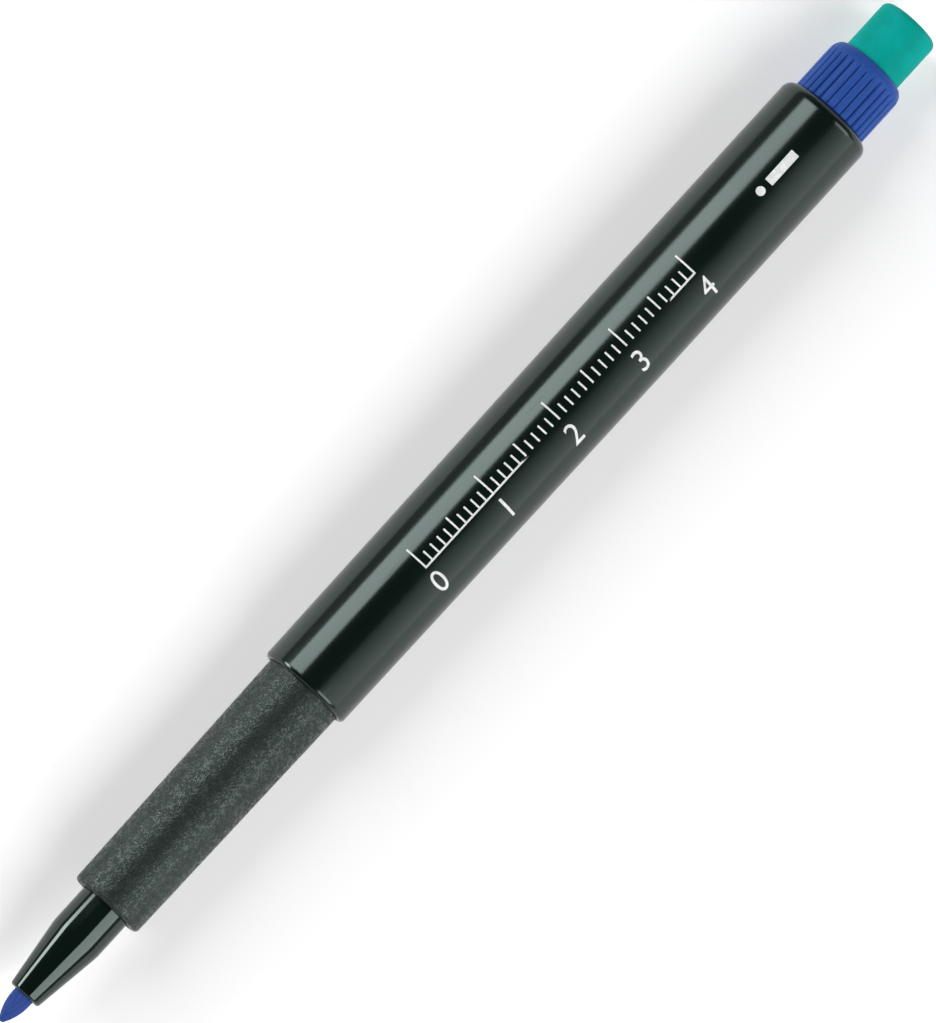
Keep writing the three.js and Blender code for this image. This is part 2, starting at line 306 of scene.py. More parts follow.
grip_rings += [(GRIP_REAR, SLEEVE_BORE), (GRIP_FRONT + LIP, SLEEVE_BORE), (GRIP_FRONT + LIP, MOUTH_RADIUS)]
grip_rings += [grip_rings[0]]
grip = turned("grip_sleeve_fine", grip_rings, WIDE_SIDES)

# %% [markdown]
# ## The barrel
#
# The barrel is a gloss black tube that tapers slightly towards the grip. Both rims are rounded as part of an ellipse,
# which is what bends the long highlight at its two ends. Halfway along the bore a ring of eight teeth keeps the
# reservoir central and lets air past. The teeth are faces of the bore, extruded and scaled towards the axis. The skin
# stays a hair under the CAD radius, which leaves room for the ink of the print.

# %% Model the barrel
BARREL_FRONT = 44.8
BARREL_REAR = 123.3
BARREL_FRONT_RADIUS = 5.125
BARREL_RADIUS = 5.35
TAPER_END = 93.8
TAPER_START = 45.3
BORE = 4.0
BORE_REAR_EDGE = 0.15
RECESS_RADIUS = 4.52
RECESS_EDGE = 0.05
FRONT_RIM = (0.5, 0.4)  # how long and how deep the rounding of a rim is
REAR_RIM = (1, 0.75)
RING_FRONT = 78.9
RING_REAR = 82.9
BARREL_SIDES = WIDE_SIDES
INK_ROOM = 0.02


def barrel_radius(station):
    """The barrel's outer radius in mm, at a station."""
    grown = min(max((station - TAPER_START) / (TAPER_END - TAPER_START), 0), 1)
    return BARREL_FRONT_RADIUS + (BARREL_RADIUS - BARREL_FRONT_RADIUS) * grown - INK_ROOM


front_edge = barrel_radius(TAPER_START)
rear_edge = barrel_radius(TAPER_END)
barrel_rings = [(RECESS_FLOOR, BORE), (RECESS_FLOOR, RECESS_RADIUS), (BARREL_FRONT + RECESS_EDGE, RECESS_RADIUS)]
barrel_rings += [(BARREL_FRONT, RECESS_RADIUS + RECESS_EDGE), (BARREL_FRONT, front_edge - FRONT_RIM[1] - 0.01)]
barrel_rings += corner(TAPER_START, front_edge - FRONT_RIM[1], *FRONT_RIM, -90, 0, 12)
barrel_rings += [(station, barrel_radius(station)) for station in (TAPER_START + 0.2, 60, TAPER_END - 12)]
barrel_rings += [(TAPER_END - 4, barrel_radius(TAPER_END - 4) - 0.002), (TAPER_END + 2, rear_edge - 0.001)]
barrel_rings += [(TAPER_END + 8, rear_edge), (BARREL_REAR - 1.2, rear_edge)]
barrel_rings += corner(BARREL_REAR - REAR_RIM[0], rear_edge - REAR_RIM[1], *REAR_RIM, 0, 90, 14)
barrel_rings += [(BARREL_REAR, BORE + BORE_REAR_EDGE), (BARREL_REAR - BORE_REAR_EDGE, BORE)]
barrel_rings += [(RING_REAR, BORE), (RING_FRONT, BORE), barrel_rings[0]]
barrel = turned("barrel_gloss", barrel_rings, BARREL_SIDES)

# %% Draw the teeth of the guide ring out of the bore
TEETH = 8
NOTCH_SIDES = 3
RING_RADIUS = 2.705
SIDES_PER_TOOTH = BARREL_SIDES // TEETH


def on_tooth(middle):
    """Whether a face of the bore, given by its middle, belongs to a tooth and not to the notch beside it."""
    turn = (atan2(middle.y, middle.z - AXIS_HEIGHT) / (2 * pi)) % 1
    side = int(turn * BARREL_SIDES + NOTCH_SIDES / 2 + SIDES_PER_TOOTH / 2) % SIDES_PER_TOOTH
    return side >= NOTCH_SIDES


only(barrel)
bpy.ops.object.mode_set(mode="EDIT")
tooth_faces = pick(
    barrel, lambda middle: on_wall(middle, BORE, RING_FRONT, RING_REAR) and on_tooth(middle), faces=True
)
bpy.ops.mesh.extrude_region_move()
scale_round(RING_FRONT, RING_RADIUS / BORE)
close_mesh()
print("the", TEETH, "teeth took", tooth_faces, "faces of the bore")

# %% [markdown]
# ## The inner stopper
#
# A milky plug closes the ink chamber behind the reservoir. It has a thin cup for the reservoir's end, two sealing
# beads that touch the barrel's bore, and a boss that carries the eraser's holder. It only shows when the end of the
# pen is drawn out.

# %% Model the inner stopper
STOPPER_FRONT = 106
STOPPER_MIDDLE = 110
STOPPER_REAR = 115
BOSS_END = 120
BOSS_RADIUS = 1.8
NECK_RADIUS = 3.8
TUBE_RADIUS = 3.4
STOPPER_EDGE = 0.15
BEADS = (111.25, 113.75)
BEAD_LENGTH = 0.4
BEAD_HEIGHT = 0.15

stopper_rings = [(STOPPER_MIDDLE, CHAMBER_RADIUS), (STOPPER_FRONT + STOPPER_EDGE, CHAMBER_RADIUS)]
stopper_rings += [(STOPPER_FRONT, CHAMBER_RADIUS + STOPPER_EDGE), (STOPPER_FRONT, TUBE_RADIUS - STOPPER_EDGE)]
stopper_rings += [(STOPPER_FRONT + STOPPER_EDGE, TUBE_RADIUS), (STOPPER_MIDDLE, TUBE_RADIUS)]
stopper_rings += [(STOPPER_MIDDLE, NECK_RADIUS)]
for bead in BEADS:
    stopper_rings += [(bead - BEAD_LENGTH - 0.02, NECK_RADIUS)]
    stopper_rings += corner(bead, NECK_RADIUS, BEAD_LENGTH, BEAD_HEIGHT, -84, 84, 8)
stopper_rings += [(STOPPER_REAR - STOPPER_EDGE, NECK_RADIUS), (STOPPER_REAR, NECK_RADIUS - STOPPER_EDGE)]
stopper_rings += [(STOPPER_REAR, BOSS_RADIUS)]
stopper_rings += [(BOSS_END - 0.4, BOSS_RADIUS), (BOSS_END - 0.1, BOSS_RADIUS - 0.3), (BOSS_END, BOSS_RADIUS - 0.45)]
stopper = turned("stopper", stopper_rings, SLIM_SIDES, front_pole=STOPPER_MIDDLE, rear_pole=BOSS_END)

# %% [markdown]
# ## The eraser's holder
#
# The blue end piece is moulded in the ink's colour. Thirty fine V grooves run from the barrel's rim and fade out
# before the rounded end that closes on the eraser. Cutting thirty grooves with a boolean would leave a ragged mesh.
# Here the circle gets eight sides for each groove, and the corners in the bottom and on the flanks of a groove are
# scaled towards the axis, ring by ring, so the grooves are as clean as the collar.

# %% Model the holder
COLLAR_FRONT = 123.4
COLLAR_REAR = 129.9
COLLAR_RADIUS = 4.4
CUP_RADIUS = 3.425
CUP_FLOOR = 121.5
SOCKET_FLOOR = 120.1
COLLAR_CORNER = 1.4
SOCKET_RADIUS = BOSS_RADIUS + 0.05
HOLDER_FRONT = STOPPER_REAR + 0.1
HOLDER_EDGE = 0.15

flute_stations = [123.46, 123.6, 124.6, 125.6, 126.6, 127.4, 128.0, 128.3, 128.5]
holder_rings = [(SOCKET_FLOOR, SOCKET_RADIUS), (HOLDER_FRONT, SOCKET_RADIUS)]
holder_rings += [(HOLDER_FRONT, SPIGOT_RADIUS - HOLDER_EDGE), (HOLDER_FRONT + HOLDER_EDGE, SPIGOT_RADIUS)]
holder_rings += [(COLLAR_FRONT, SPIGOT_RADIUS), (COLLAR_FRONT, COLLAR_RADIUS - 0.06)]
holder_rings += [(station, COLLAR_RADIUS) for station in flute_stations]
rim_radius = CUP_RADIUS + 0.02
rim_rings = corner(COLLAR_REAR - COLLAR_CORNER, rim_radius, COLLAR_CORNER, COLLAR_RADIUS - rim_radius, 0, 90, 18)
holder_rings += rim_rings[1:]
holder_rings += [(COLLAR_REAR - 0.05, CUP_RADIUS), (CUP_FLOOR, CUP_RADIUS)]

FLUTES = 30
SIDES_PER_FLUTE = 8
HOLDER_SIDES = SIDES_PER_FLUTE * FLUTES
holder = turned("holder_fluted", holder_rings, HOLDER_SIDES, front_pole=SOCKET_FLOOR, rear_pole=CUP_FLOOR)

# %% Press in the grooves
FLUTE_STEP = 2 * pi / HOLDER_SIDES
FLANK_DEPTHS = (0.25, 0.085, 0.015)
FADE_START = 127.9
FADE_END = 129.0
RING_SLACK = 0.1  # how far inside the collar's radius a ring still counts as its skin
CORNER_SLACK = 0.15
SAME_RING = 2e-6
FLUTE_ANGLE = radians(24)


def flank(place):
    """How many sides a corner is away from the bottom of its groove."""
    side = round(atan2(place.y, place.z - AXIS_HEIGHT) / FLUTE_STEP) % SIDES_PER_FLUTE
    return min(side, SIDES_PER_FLUTE - side)


skin = (COLLAR_RADIUS - CORNER_SLACK) * MM
only(holder)
bpy.ops.object.mode_set(mode="EDIT")
for station, radius in holder_rings:
    if radius < COLLAR_RADIUS - RING_SLACK or station > FADE_END:
        continue
    x = along(station)
    fade = 1 - max(0, (station - FADE_START) / (FADE_END - FADE_START)) ** 2
    for away, depth in enumerate(FLANK_DEPTHS):
        count = pick(holder, lambda co: abs(co.x - x) < SAME_RING and out(co) > skin and flank(co) == away)
        scale_round(station, 1 - depth * fade / COLLAR_RADIUS)
close_mesh()
bpy.ops.object.shade_smooth_by_angle(angle=FLUTE_ANGLE)
print("the last ring had", count, "corners on its outermost flanks")

# %% [markdown]
# ## The eraser
#
# A turquoise rubber plug sits in the holder's cup and stands 6 mm out of it. Its end is nearly flat, a touch higher
# in the middle, and its edge is rounded. The last rings climb by hundredths of a millimetre to the middle, because a
# dead flat end would mirror the room as one even patch.

# %% Model the eraser
ERASER_RADIUS = 3.375
ERASER_END = 136
ERASER_CORNER = 0.7

ERASER_FRONT = CUP_FLOOR + 0.1
ERASER_FRONT_EDGE = 0.2
CROWN = 0.05  # how much higher the middle of the end stands

eraser_rings = [(ERASER_FRONT, ERASER_RADIUS - ERASER_FRONT_EDGE), (ERASER_FRONT + ERASER_FRONT_EDGE, ERASER_RADIUS)]
eraser_rings += [(station, ERASER_RADIUS) for station in (125.5, COLLAR_REAR, 132, 134, 135.1)]
eraser_rings += corner(
    ERASER_END - CROWN - ERASER_CORNER, ERASER_RADIUS - ERASER_CORNER, ERASER_CORNER, ERASER_CORNER, 0, 90, 14
)
eraser_rings += [(ERASER_END - 0.04, 2.3), (ERASER_END - 0.02, 1.5), (ERASER_END - 0.005, 0.7)]
eraser = turned("eraser_rubber", eraser_rings, SLIM_SIDES, front_pole=ERASER_FRONT, rear_pole=ERASER_END)

# %% [markdown]
# ## The print
#
# The barrel carries a plain scale in white ink: a line with millimetre strokes, numbers at the centimetres, and a
# dot and a bar as wide as the line that the nib draws. Printed ink is a film of a hundredth of a millimetre. It is
# drawn flat above the barrel, cut into narrow strips, and dropped onto the barrel by a Shrinkwrap modifier, so that
# it follows the curve. A Solidify modifier gives it its thickness.

# %% Strokes and numbers
PRINT_START = 61.6
PRINT_LENGTH = 40
BASE_LINE = -0.85
LINE_WIDTH = 0.2
STROKE_HEIGHTS = {10: 2.5, 5: 1.8, 1: 1.2}
NUMBER_HEIGHT = 2.3
NUMBER_GAP = 0.45
TEXT_SIZE = 1.36  # the size of a text in heights of its digits
ABOVE = 20 * MM
ink = []


def stroke(station, across, length, width):
    """A flat rectangle of ink, with its middle at a station and at a distance from the barrel's top line."""
    bpy.ops.mesh.primitive_plane_add(size=1, location=(along(station), across * MM, ABOVE))
    mark = bpy.context.object
    mark.scale = (length * MM, width * MM, 1)
    bpy.ops.object.transform_apply(location=True, rotation=True, scale=True)
    ink.append(mark)


bpy.ops.object.select_all(action="DESELECT")
stroke(PRINT_START + PRINT_LENGTH / 2, BASE_LINE, PRINT_LENGTH + LINE_WIDTH, LINE_WIDTH)
for mm in range(PRINT_LENGTH + 1):
    height = next(height for step, height in STROKE_HEIGHTS.items() if mm % step == 0)
    stroke(PRINT_START + mm, BASE_LINE + LINE_WIDTH / 2 + height / 2, LINE_WIDTH, height)

for number in range(PRINT_LENGTH // 10 + 1):
    bpy.ops.object.text_add(location=(along(PRINT_START + 10 * number), (BASE_LINE - NUMBER_GAP) * MM, ABOVE))
    digit = bpy.context.object
    digit.data.body = str(number)
    digit.data.align_x = "CENTER"
    digit.data.align_y = "TOP"
    digit.data.size = NUMBER_HEIGHT * TEXT_SIZE * MM
    digit.data.resolution_u = 6
    bpy.ops.object.convert(target="MESH")
    bpy.ops.object.transform_apply(location=True, rotation=True, scale=True)
    ink.append(bpy.context.object)
print("the scale has", PRINT_LENGTH + 1, "strokes and", PRINT_LENGTH // 10 + 1, "numbers")

# %% The line-width mark
DOT_STATION = 112.2
DOT_RADIUS = 0.5
MARK_ACROSS = -0.2
BAR_LENGTH = 4
BAR_SHIFT = 3.2
dot_place = (along(DOT_STATION), MARK_ACROSS * MM, ABOVE)
bpy.ops.mesh.primitive_circle_add(vertices=40, radius=DOT_RADIUS * MM, fill_type="NGON", location=dot_place)
ink.append(bpy.context.object)
bpy.ops.object.transform_apply(location=True, rotation=True, scale=True)
stroke(DOT_STATION + BAR_SHIFT, MARK_ACROSS, BAR_LENGTH, 2 * DOT_RADIUS)
print("the ink has", len(ink), "marks in all")

# %% Lay the ink on the barrel
STRIP = 0.22
STRIPS = range(-18, 13)
INK_LIFT = 0.004
INK_FILM = 0.01

bpy.ops.object.select_all(action="DESELECT")
for mark in ink:
    mark.select_set(True)
bpy.context.view_layer.objects.active = ink[0]
bpy.ops.object.join()
print_marks = bpy.context.object
print_marks.name = "print"
print_marks.data.name = "print"

bpy.ops.object.mode_set(mode="EDIT")
for i in STRIPS:
    bpy.ops.mesh.select_all(action="SELECT")
    bpy.ops.mesh.bisect(plane_co=(0, i * STRIP * MM, ABOVE), plane_no=(0, 1, 0))
bpy.ops.mesh.select_all(action="SELECT")
bpy.ops.mesh.remove_doubles(threshold=SAME)
bpy.ops.object.mode_set(mode="OBJECT")

drop = print_marks.modifiers.new("drop", "SHRINKWRAP")
drop.target = barrel
drop.wrap_method = "PROJECT"
drop.use_project_z = True
drop.use_negative_direction = True
drop.use_positive_direction = False
drop.offset = INK_LIFT * MM
only(print_marks)
bpy.ops.object.modifier_apply(modifier="drop")
film = print_marks.modifiers.new("film", "SOLIDIFY")
film.thickness = INK_FILM * MM
film.offset = 1
bpy.ops.object.modifier_apply(modifier="film")
print("the print has", len(print_marks.data.polygons), "faces")

# %% [markdown]
# ## Finishes
#
# The finishes share a few effects. Each is a node group that is built once and placed in a material with its own
# values. All of them read Object coordinates in metres, so a size of 0.16 mm is a scale of 6000.

# %% Helpers for node groups
def new_group(name, inputs, outputs):
    """A shader group with float inputs and outputs. Returns the tree and its two end nodes."""
    tree = bpy.data.node_groups.new(name, "ShaderNodeTree")
    for label, default in inputs.items():
        socket = tree.interface.new_socket(label, in_out="INPUT", socket_type="NodeSocketFloat")
        socket.default_value = default
    for label in outputs:
        tree.interface.new_socket(label, in_out="OUTPUT", socket_type="NodeSocketFloat")
    return tree, tree.nodes.new("NodeGroupInput"), tree.nodes.new("NodeGroupOutput")


def ramp(tree, value, low, high, to_low=0.0, to_high=1.0, smooth=True):
    """Maps a value from one range to another, and returns the output socket."""
    node = tree.nodes.new("ShaderNodeMapRange")
    node.interpolation_type = "SMOOTHSTEP" if smooth else "LINEAR"
    node.inputs["From Min"].default_value = low
    node.inputs["From Max"].default_value = high
    node.inputs["To Min"].default_value = to_low
    node.inputs["To Max"].default_value = to_high
    tree.links.new(value, node.inputs["Value"])
    return node.outputs["Result"]


def math_node(tree, operation, first, second=0.0):
    """The output of a Math node. Each operand is a socket or a number."""
    node = tree.nodes.new("ShaderNodeMath")
    node.operation = operation
    for socket, operand in zip(node.inputs, (first, second)):
        if isinstance(operand, (int, float)):
            socket.default_value = operand
        else:
            tree.links.new(operand, socket)
    return node.outputs[0]


def noise(tree, vector, scale, detail):
    """A noise texture, read at a vector, whose scale comes from a socket. Returns the node."""
    node = tree.nodes.new("ShaderNodeTexNoise")
    node.inputs["Detail"].default_value = detail
    tree.links.new(vector, node.inputs["Vector"])
    tree.links.new(scale, node.inputs["Scale"])
    return node


def stretched(tree, vector, share, turn=0.0):
    """A vector that draws a texture out along the pen. A share of 0.1 makes it ten times as long."""
    node = tree.nodes.new("ShaderNodeMapping")
    node.inputs["Rotation"].default_value = (0, 0, turn)
    node.inputs["Scale"].default_value = (share, 1, 1)
    tree.links.new(vector, node.inputs["Vector"])
    return node.outputs["Vector"]


def own_place(tree):
    """The Object coordinates, in metres."""
    return tree.nodes.new("ShaderNodeTexCoord").outputs["Object"]


# %% [markdown]
# ### Grain
#
# The grip and the eraser have a fine eroded grain, and the gloss mouldings have a much weaker one. Two noises, one
# at the grain's size and one three times as coarse, make it uneven, as spark erosion does to a mould.

# %% Grain group
COARSE_SCALE = 0.33


def build_grain():
    tree, given, result = new_group("grain", {"Scale": 6000, "Coarse Share": 0.35}, ("Height", "Speckle"))
    place = own_place(tree)
    fine = noise(tree, place, given.outputs["Scale"], 2)
    coarse = noise(tree, place, math_node(tree, "MULTIPLY", given.outputs["Scale"], COARSE_SCALE), 1)
    shared = tree.nodes.new("ShaderNodeMix")
    tree.links.new(given.outputs["Coarse Share"], shared.inputs["Factor"])
    tree.links.new(fine.outputs["Fac"], shared.inputs[2])
    tree.links.new(coarse.outputs["Fac"], shared.inputs[3])
    tree.links.new(shared.outputs[0], result.inputs["Height"])
    # Speckle is low in the grain's pits and high on its tops: the grip paints its pits darker with it as painted
    # shade, and the print thins its ink there
    tree.links.new(ramp(tree, shared.outputs[0], 0.46, 0.6), result.inputs["Speckle"])
    return tree


grain_group = build_grain()
print("grain group:", [item.name for item in grain_group.interface.items_tree])

# %% [markdown]
# ### Handling
#
# A pen that has been held has faint dull patches and a few hair-fine scuffs along it. Large soft patches are one
# noise. The scuffs are a second noise, stretched along the axis and cut to its highest values.

# %% Handling group
SCUFF_SHARE = 0.05
SCUFF_TURN = radians(9)


def build_handling():
    tree, given, result = new_group("handling", {"Patch Scale": 90, "Scuff Scale": 2600}, ("Patches", "Scuffs"))
    place = own_place(tree)
    patches = noise(tree, place, given.outputs["Patch Scale"], 3)
    tree.links.new(ramp(tree, patches.outputs["Fac"], 0.4, 0.66), result.inputs["Patches"])
    scuffs = noise(tree, stretched(tree, place, SCUFF_SHARE, SCUFF_TURN), given.outputs["Scuff Scale"], 2)
    tree.links.new(ramp(tree, scuffs.outputs["Fac"], 0.66, 0.78), result.inputs["Scuffs"])
    return tree


handling_group = build_handling()
print("handling group:", [item.name for item in handling_group.interface.items_tree])

# %% [markdown]
# ### Fibres
#
# The nib and the reservoir are bundles of fibres that run along the pen. A noise that is stretched along the axis
# gives the strands, and a coarser one gives the darker places where more ink has gathered.

# %% Fibre group
STRAND_SHARE = 0.12


def build_fibres():
    tree, given, result = new_group("fibres", {"Strand Scale": 9000, "Pool Scale": 700}, ("Strands", "Pools"))
    place = own_place(tree)
    strands = noise(tree, stretched(tree, place, STRAND_SHARE), given.outputs["Strand Scale"], 3)
    strands.inputs["Roughness"].default_value = 0.6
    tree.links.new(ramp(tree, strands.outputs["Fac"], 0.35, 0.68), result.inputs["Strands"])
    pools = noise(tree, place, given.outputs["Pool Scale"], 2)
    tree.links.new(ramp(tree, pools.outputs["Fac"], 0.38, 0.64), result.inputs["Pools"])
    return tree


fibre_group = build_fibres()
print("fibre group:", [item.name for item in fibre_group.interface.items_tree])

# %% [markdown]
# ### Materials
#
# A material here is a Principled shader. What changes over its surface, the colour, the roughness and the bump, comes
# from the groups. How strongly it mirrors is one value, and the tint of what it mirrors another.

# %% Helpers for materials
def new_material(name, roughness, specular=0.5, tint=(1, 1, 1)):
    """A Principled material, whose reflections may be tinted. Returns it with its tree and shader."""
    material = bpy.data.materials.new(name)
    material.use_nodes = True
    shader = material.node_tree.nodes["Principled BSDF"]
    shader.inputs["Roughness"].default_value = roughness
    shader.inputs["Specular IOR Level"].default_value = specular
    shader.inputs["Specular Tint"].default_value = (*tint, 1)
    return material, material.node_tree, shader


def place_group(tree, group, **values):
    """Puts a group in a material with its own values, and returns its outputs."""
    node = tree.nodes.new("ShaderNodeGroup")
    node.node_tree = group
    for label, value in values.items():
        node.inputs[label.replace("_", " ")].default_value = value
    return node.outputs


def blend(tree, factor, first, second):
    """A colour between two, by a factor. A colour is a socket or (r, g, b)."""
    node = tree.nodes.new("ShaderNodeMix")
    node.data_type = "RGBA"
    tree.links.new(factor, node.inputs["Factor"])
    for socket, colour in ((node.inputs[6], first), (node.inputs[7], second)):
        if isinstance(colour, tuple):
            socket.default_value = (*colour, 1)
        else:
            tree.links.new(colour, socket)
    return node.outputs[2]


def share_of(tree, value, share):
    """A value times a number."""
    return math_node(tree, "MULTIPLY", value, share)


def show(*materials):
    """Prints how many nodes each finish has."""
    for material in materials:
        print(material.name, "has", len(material.node_tree.nodes), "nodes")


def coat(tree, shader, colour, roughness):
    """Gives a shader its colour and its roughness, from two sockets."""
    tree.links.new(colour, shader.inputs["Base Color"])
    tree.links.new(roughness, shader.inputs["Roughness"])


def bump(tree, shader, height, distance, strength):
    """Gives a shader a bump from a height, whose distance is in mm."""
    node = tree.nodes.new("ShaderNodeBump")
    node.inputs["Strength"].default_value = strength
    node.inputs["Distance"].default_value = distance * MM
    tree.links.new(height, node.inputs["Height"])
    tree.links.new(node.outputs["Normal"], shader.inputs["Normal"])


# %% [markdown]
# ### Gloss black plastic
#
# The nose and the barrel are polished black mouldings. Black plastic is never fully black: it has a trace of green
# here. Its look comes almost wholly from what it mirrors, so the roughness is low, and the handling group dulls it in
# patches.

# %% Gloss black
GREEN_TINT = (0.82, 1.0, 0.95)
PATCH_DULLING = 0.03
SCUFF_DULLING = 0.08


def gloss_black(name, roughness):
    material, tree, shader = new_material(name, roughness, tint=GREEN_TINT)
    handling = place_group(tree, handling_group, Patch_Scale=70, Scuff_Scale=2600)
    grain = place_group(tree, grain_group, Scale=1500, Coarse_Share=0.5)
    colour = blend(tree, handling["Patches"], (0.0022, 0.0062, 0.0048), (0.0030, 0.0076, 0.0062))
    colour = blend(tree, share_of(tree, handling["Scuffs"], 0.35), colour, (0.02, 0.026, 0.024))
    patches = share_of(tree, handling["Patches"], PATCH_DULLING)
    scuffs = share_of(tree, handling["Scuffs"], SCUFF_DULLING)
    dulled = math_node(tree, "ADD", math_node(tree, "ADD", patches, scuffs), roughness)
    coat(tree, shader, colour, dulled)
    bump(tree, shader, grain["Height"], 0.0012, 0.35)
    return material


barrel_black = gloss_black("barrel_gloss_black", 0.16)
nose_black = gloss_black("nose_gloss_black", 0.05)
show(barrel_black, nose_black)

# %% [markdown]
# ### Matt charcoal grip
#
# The grip's mould was eroded, so its surface is a field of fine pits. They scatter the light into two soft bands
# along the sleeve, with a fine sparkle in them. The pits are 0.1 to 0.2 mm wide, and their colour is painted near
# black, as painted shade in the pits.

# %% Matt charcoal
def charcoal():
    material, tree, shader = new_material("grip_charcoal", 0.4, specular=0.42, tint=GREEN_TINT)
    grain = place_group(tree, grain_group, Scale=5200, Coarse_Share=0.36)
    handling = place_group(tree, handling_group, Patch_Scale=120, Scuff_Scale=1800)
    # the colour follows the grain's height and runs near black in the pits: painted shade
    colour = blend(tree, grain["Speckle"], (0.001, 0.004, 0.003), (0.030, 0.038, 0.035))
    colour = blend(tree, share_of(tree, handling["Patches"], 0.25), colour, (0.011, 0.017, 0.014))
    spread = ramp(tree, grain["Speckle"], 0, 1, 0.54, 0.24)
    coat(tree, shader, colour, math_node(tree, "SUBTRACT", spread, share_of(tree, handling["Patches"], 0.04)))
    bump(tree, shader, grain["Height"], 0.1, 0.9)
    return material


grip_charcoal = charcoal()
show(grip_charcoal)

# %% [markdown]
# ### Inked nib
#
# Bonded fibre drinks the ink, so it is a deep blue with paler strands where it is drier, and it has no gloss.

# %% Inked fibre
def inked_fibre(name, dry, wet, strand_scale, pool_scale, depth):
    material, tree, shader = new_material(name, 0.85, specular=0.25)
    fibres = place_group(tree, fibre_group, Strand_Scale=strand_scale, Pool_Scale=pool_scale)
    colour = blend(tree, fibres["Strands"], wet, dry)
    colour = blend(tree, share_of(tree, fibres["Pools"], 0.5), colour, wet)
    coat(tree, shader, colour, ramp(tree, fibres["Pools"], 0, 1, 0.9, 0.74))
    bump(tree, shader, fibres["Strands"], depth, 0.6)
    return material


nib_blue = inked_fibre("nib_blue", (0.032, 0.078, 0.30), (0.017, 0.047, 0.225), 7000, 900, 0.02)
wad_blue = inked_fibre("wad_blue", (0.05, 0.10, 0.34), (0.02, 0.05, 0.24), 5000, 400, 0.04)
show(nib_blue, wad_blue)

# %% [markdown]
# ### Blue holder plastic
#
# The holder is dyed through in the ink's blue and has a satin gloss. Its colour runs very slightly lighter and
# darker, as dyed plastic does where it flowed into the mould, and handling leaves faint paler scuffs on it.

# %% Holder blue
def satin_blue():
    material, tree, shader = new_material("holder_blue", 0.36, specular=0.08)
    handling = place_group(tree, handling_group, Patch_Scale=260, Scuff_Scale=2200)
    grain = place_group(tree, grain_group, Scale=2600, Coarse_Share=0.4)
    colour = blend(tree, handling["Patches"], (0.0210, 0.0700, 0.295), (0.0250, 0.0800, 0.325))
    colour = blend(tree, share_of(tree, handling["Scuffs"], 0.2), colour, (0.06, 0.13, 0.38))
    coat(tree, shader, colour, ramp(tree, grain["Height"], 0.3, 0.7, 0.3, 0.4))
    bump(tree, shader, grain["Height"], 0.006, 0.5)
    return material


holder_blue = satin_blue()
show(holder_blue)

# %% [markdown]
# ### Turquoise rubber
#
# Eraser rubber is matt and slightly uneven in colour. Its rubbed end is a little paler, and it holds a trace of
# grime there. The end is found by the distance along the pen.

# %% Rubber
RUBBED_LENGTH = 1.1


def turquoise_rubber():
    material, tree, shader = new_material("eraser_turquoise", 0.6, specular=0.05)
    grain = place_group(tree, grain_group, Scale=3400, Coarse_Share=0.45)
    handling = place_group(tree, handling_group, Patch_Scale=500, Scuff_Scale=1600)
    parts = tree.nodes.new("ShaderNodeSeparateXYZ")
    tree.links.new(own_place(tree), parts.inputs["Vector"])
    rubbed = ramp(tree, parts.outputs["X"], along(ERASER_END - RUBBED_LENGTH), along(ERASER_END))
    rubbed = math_node(tree, "MULTIPLY", rubbed, handling["Patches"])
    colour = blend(tree, handling["Patches"], (0.0008, 0.300, 0.258), (0.0012, 0.335, 0.305))
    colour = blend(tree, share_of(tree, rubbed, 0.28), colour, (0.05, 0.34, 0.29))
    colour = blend(tree, share_of(tree, handling["Scuffs"], 0.16), colour, (0.02, 0.22, 0.19))
    coat(tree, shader, colour, ramp(tree, grain["Height"], 0.3, 0.7, 0.52, 0.64))
    bump(tree, shader, grain["Height"], 0.012, 0.5)
    return material


eraser_turquoise = turquoise_rubber()
show(eraser_turquoise)

# %% [markdown]
# ### Ink, stopper and film
#
# The white ink covers a black ground, so a trace of the ground shows through where the film is thin. The stopper is
# undyed plastic, milky and satin. The film round the reservoir is thin and clear, with fine wrinkles along it.

# %% Print white
def print_ink():
    material, tree, shader = new_material("print_white", 0.36, specular=0.45)
    grain = place_group(tree, grain_group, Scale=4200, Coarse_Share=0.5)
    colour = blend(tree, grain["Speckle"], (0.66, 0.68, 0.67), (0.78, 0.80, 0.79))
    coat(tree, shader, colour, ramp(tree, grain["Height"], 0.3, 0.7, 0.32, 0.44))
    return material


print_white = print_ink()
show(print_white)

# %% Milky stopper
def milky_plastic():
    material, tree, shader = new_material("stopper_milky", 0.42, specular=0.45)
    handling = place_group(tree, handling_group, Patch_Scale=300, Scuff_Scale=1500)
    grain = place_group(tree, grain_group, Scale=1800, Coarse_Share=0.5)
    colour = blend(tree, handling["Patches"], (0.62, 0.64, 0.60), (0.70, 0.71, 0.67))
    colour = blend(tree, share_of(tree, handling["Scuffs"], 0.25), colour, (0.42, 0.46, 0.56))
    coat(tree, shader, colour, ramp(tree, grain["Height"], 0.3, 0.7, 0.36, 0.5))
    bump(tree, shader, grain["Height"], 0.01, 0.4)
    return material


stopper_milky = milky_plastic()
show(stopper_milky)

# %% Wrinkled film
def wrinkled_film():
    material, tree, shader = new_material("film_clear", 0.16, specular=0.5)
    fibres = place_group(tree, fibre_group, Strand_Scale=1500, Pool_Scale=260)
    colour = blend(tree, fibres["Pools"], (0.16, 0.22, 0.44), (0.42, 0.48, 0.62))
    coat(tree, shader, colour, ramp(tree, fibres["Strands"], 0, 1, 0.12, 0.26))
    bump(tree, shader, fibres["Strands"], 0.05, 0.7)
    return material


film_clear = wrinkled_film()
show(film_clear)

# %% [markdown]
# ## Dress and join the pieces
#
# Every new piece stands for a CAD node and rides on that node's body, so it follows the joints. The reservoir and
# its film are simple shapes that the CAD already has right, so they stay and only get their materials.

